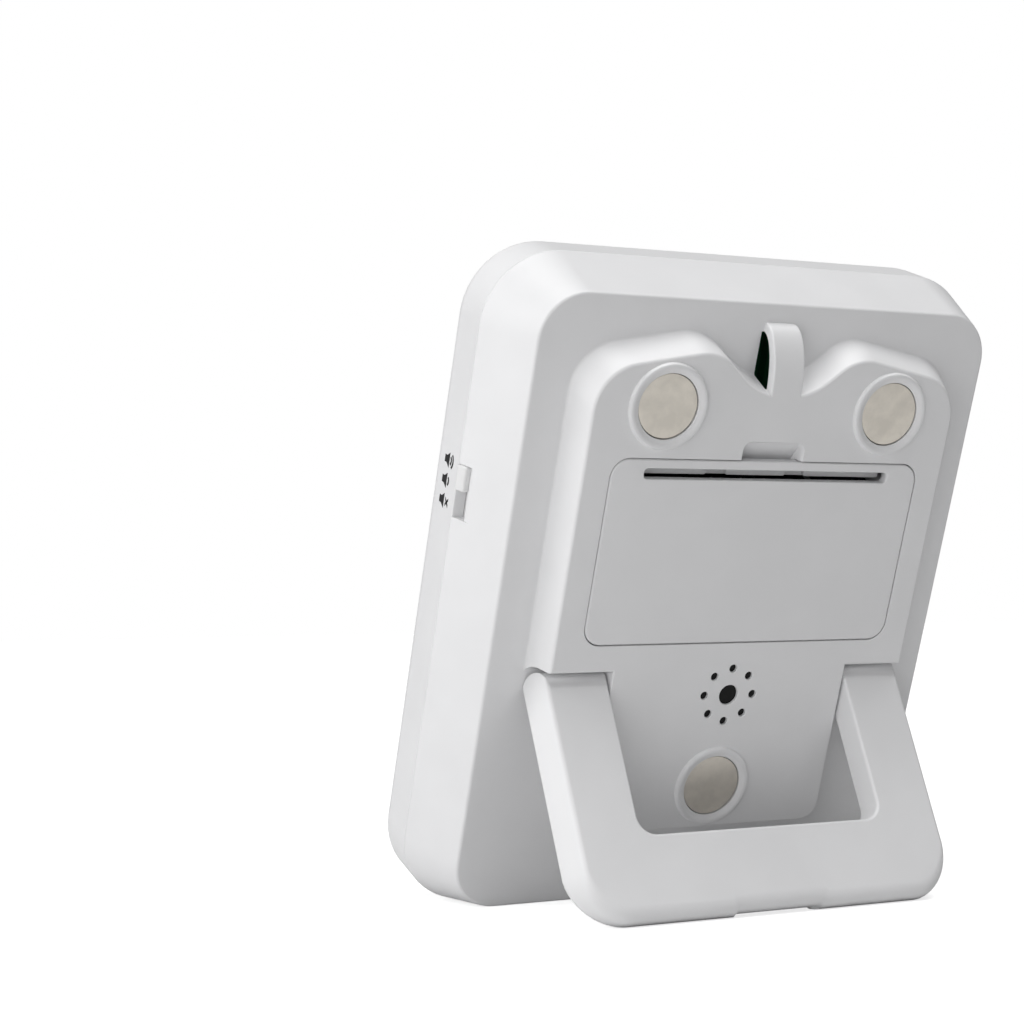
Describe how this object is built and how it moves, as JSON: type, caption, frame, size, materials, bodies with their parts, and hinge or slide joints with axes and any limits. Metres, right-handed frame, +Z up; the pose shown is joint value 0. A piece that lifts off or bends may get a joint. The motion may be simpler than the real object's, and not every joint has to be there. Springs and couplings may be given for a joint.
{
  "type": "kitchen timer",
  "caption": "Upright kitchen timer with a rounded case, a folding stand, a latched battery door, a hang loop, magnets, sliding volume switch and sprung keys under a display.",
  "frame": {"origin": "on the table, in the middle of the flat lower side of the case that the timer stands on", "axes": "+Z up from the table, -Y the way the display faces, +X to the right of someone reading the display"},
  "size_m": [0.0904, 0.0585, 0.1035],
  "materials": {
    "case_white": "fine satin moulding grain",
    "stand_white": "fine satin moulding grain",
    "knob_white": "satin",
    "clear_window": "clear and polished",
    "lcd_glass": "polished grey green with dark segments",
    "frame_white": "matt",
    "zebra_rubber": "striped silicone",
    "board_green": "solder mask",
    "epoxy_black": "potted drop",
    "can_steel": "satin",
    "switch_steel": "satin",
    "buzzer_brass": "brushed",
    "buzzer_ceramic": "silvered ceramic",
    "keypad_rubber": "matt silicone",
    "key_white": "satin",
    "key_grey": "satin",
    "key_accent": "satin",
    "magnet_nickel": "satin plating",
    "cell_jacket": "printed foil jacket",
    "contact_nickel": "bright plating",
    "spring_nickel": "bright plating",
    "screw_steel": "zinc plating",
    "wire_red": "smooth",
    "wire_black": "smooth"
  },
  "bodies": {
    "case": {"front_case": "case_white", "rear_case": "case_white", "display_lens": "clear_window", "lcd_panel": "lcd_glass", "lcd_frame": "frame_white", "zebra_upper": "zebra_rubber", "zebra_lower": "zebra_rubber", "main_board": "board_green", "controller_blob": "epoxy_black", "crystal": "can_steel", "volume_switch": "switch_steel", "buzzer_plate": "buzzer_brass", "buzzer_ceramic": "buzzer_ceramic", "keypad_membrane": "keypad_rubber", "magnet_left": "magnet_nickel", "magnet_right": "magnet_nickel", "magnet_lower": "magnet_nickel", "cell_upper": "cell_jacket", "cell_lower": "cell_jacket", "contact_link": "contact_nickel", "contact_negative": "contact_nickel", "contact_positive": "contact_nickel", "spring_link": "spring_nickel", "spring_negative": "spring_nickel", "board_screws": "screw_steel", "case_screws": "screw_steel", "wire_positive": "wire_red", "wire_negative": "wire_black", "wire_buzzer_plate": "wire_black", "wire_buzzer_ceramic": "wire_red"},
    "stand": {"stand": "stand_white"},
    "battery_door": {"battery_door": "case_white"},
    "volume_knob": {"volume_knob": "knob_white"},
    "key_timer_1": {"key_timer_1": "key_white"},
    "key_timer_2": {"key_timer_2": "key_white"},
    "key_timer_3": {"key_timer_3": "key_white"},
    "key_hour": {"key_hour": "key_white"},
    "key_minute": {"key_minute": "key_white"},
    "key_second": {"key_second": "key_white"},
    "key_clear": {"key_clear": "key_grey"},
    "key_start": {"key_start": "key_accent"}
  },
  "joints": [
    {"name": "stand_fold", "type": "hinge", "parent": "case", "child": "stand", "pos_m": [0, 0.02233, 0.03486], "axis": [1, 0, 0], "range_deg": [-43.7, 0]},
    {"name": "door_open", "type": "hinge", "parent": "case", "child": "battery_door", "pos_m": [0, 0.02758, 0.04142], "axis": [-1, 0, 0], "range_deg": [0, 60]},
    {"name": "volume_slide", "type": "slide", "parent": "case", "child": "volume_knob", "axis": [0, 0.3584, 0.9336], "range_m": [-0.0044, 0]},
    {"name": "press_timer_1", "type": "slide", "parent": "case", "child": "key_timer_1", "axis": [0, 0.9336, -0.3584], "range_m": [0, 0.001], "stiffness_N_per_m": 1500, "deforming": ["keypad_membrane"]},
    {"name": "press_timer_2", "type": "slide", "parent": "case", "child": "key_timer_2", "axis": [0, 0.9336, -0.3584], "range_m": [0, 0.001], "stiffness_N_per_m": 1500, "deforming": ["keypad_membrane"]},
    {"name": "press_timer_3", "type": "slide", "parent": "case", "child": "key_timer_3", "axis": [0, 0.9336, -0.3584], "range_m": [0, 0.001], "stiffness_N_per_m": 1500, "deforming": ["keypad_membrane"]},
    {"name": "press_hour", "type": "slide", "parent": "case", "child": "key_hour", "axis": [0, 0.9336, -0.3584], "range_m": [0, 0.001], "stiffness_N_per_m": 1500, "deforming": ["keypad_membrane"]},
    {"name": "press_minute", "type": "slide", "parent": "case", "child": "key_minute", "axis": [0, 0.9336, -0.3584], "range_m": [0, 0.001], "stiffness_N_per_m": 1500, "deforming": ["keypad_membrane"]},
    {"name": "press_second", "type": "slide", "parent": "case", "child": "key_second", "axis": [0, 0.9336, -0.3584], "range_m": [0, 0.001], "stiffness_N_per_m": 1500, "deforming": ["keypad_membrane"]},
    {"name": "press_clear", "type": "slide", "parent": "case", "child": "key_clear", "axis": [0, 0.9336, -0.3584], "range_m": [0, 0.001], "stiffness_N_per_m": 1500, "deforming": ["keypad_membrane"]},
    {"name": "press_start", "type": "slide", "parent": "case", "child": "key_start", "axis": [0, 0.9336, -0.3584], "range_m": [0, 0.001], "stiffness_N_per_m": 1500, "deforming": ["keypad_membrane"]}
  ]
}
